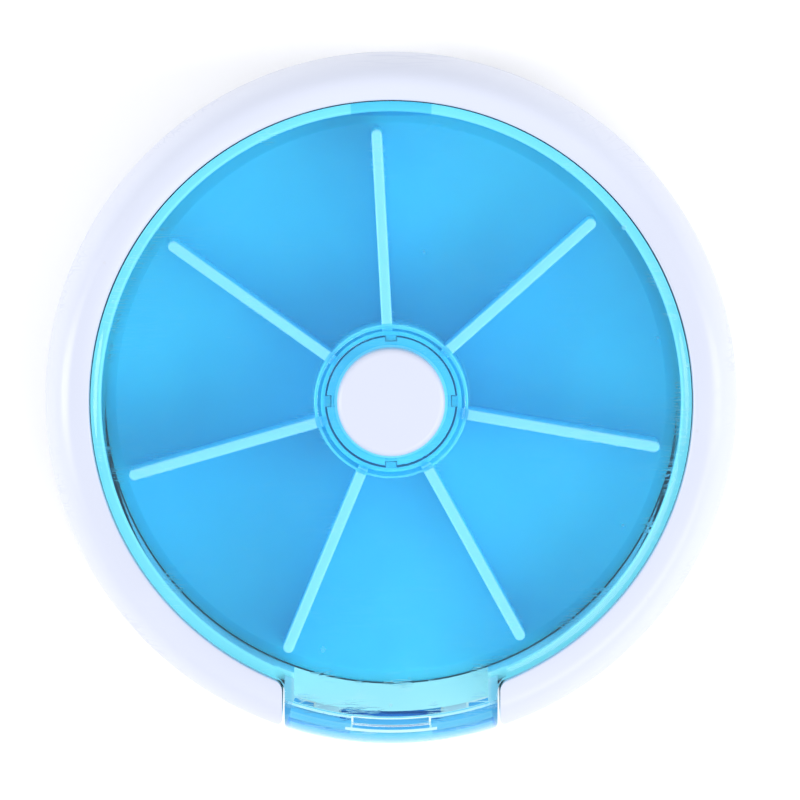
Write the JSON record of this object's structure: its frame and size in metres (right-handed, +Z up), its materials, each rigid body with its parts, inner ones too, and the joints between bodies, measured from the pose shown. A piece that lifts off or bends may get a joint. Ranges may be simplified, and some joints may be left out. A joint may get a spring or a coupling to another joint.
{
  "type": "travel pill organizer",
  "caption": "Round pocket pill case: a compartment tray turns under a clear lid, with a finger button at its hub and a small dispensing door at the front.",
  "frame": {"origin": "centre of the case's round underside, on the surface it stands on", "axes": "+Z up along the tray's axis, -Y towards the dispensing door, +X to the right seen from above with the door towards the viewer"},
  "size_m": [0.09, 0.09, 0.025],
  "materials": {
    "white_plastic": "smooth moulded white plastic with a soft gloss",
    "clear_blue": "clear glossy light blue plastic with fine scratches",
    "tray_blue": "smooth moulded blue plastic",
    "natural_plastic": "unpigmented slippery plastic",
    "steel": "plain drawn steel"
  },
  "bodies": {
    "housing": {"base_pan": "white_plastic", "ring_bezel": "white_plastic", "spindle_screw": "steel", "spindle_washer": "steel", "index_spring": "steel", "door_hinge_pin": "steel"},
    "tray": {"tray": "tray_blue", "index_wheel": "natural_plastic", "button_spring": "steel"},
    "button": {"hub_button": "white_plastic"},
    "lid": {"lid": "clear_blue"},
    "door": {"front_door": "clear_blue"}
  },
  "joints": [
    {"name": "tray_spin", "type": "hinge", "parent": "housing", "child": "tray", "pos_m": [0, 0, 0], "axis": [0, 0, 1], "continuous": true},
    {"name": "button_press", "type": "slide", "parent": "tray", "child": "button", "axis": [0, 0, -1], "range_m": [0, 0.0015], "stiffness_N_per_m": 300, "springref_m": -0.001, "deforming": ["button_spring"]},
    {"name": "lid_tilt", "type": "hinge", "parent": "housing", "child": "lid", "pos_m": [0, 0.0388, 0.0232], "axis": [-1, 0, 0], "range_deg": [0, 100]},
    {"name": "door_tip", "type": "hinge", "parent": "housing", "child": "door", "pos_m": [0, -0.0416, 0.0028], "axis": [1, 0, 0], "range_deg": [0, 80]}
  ]
}
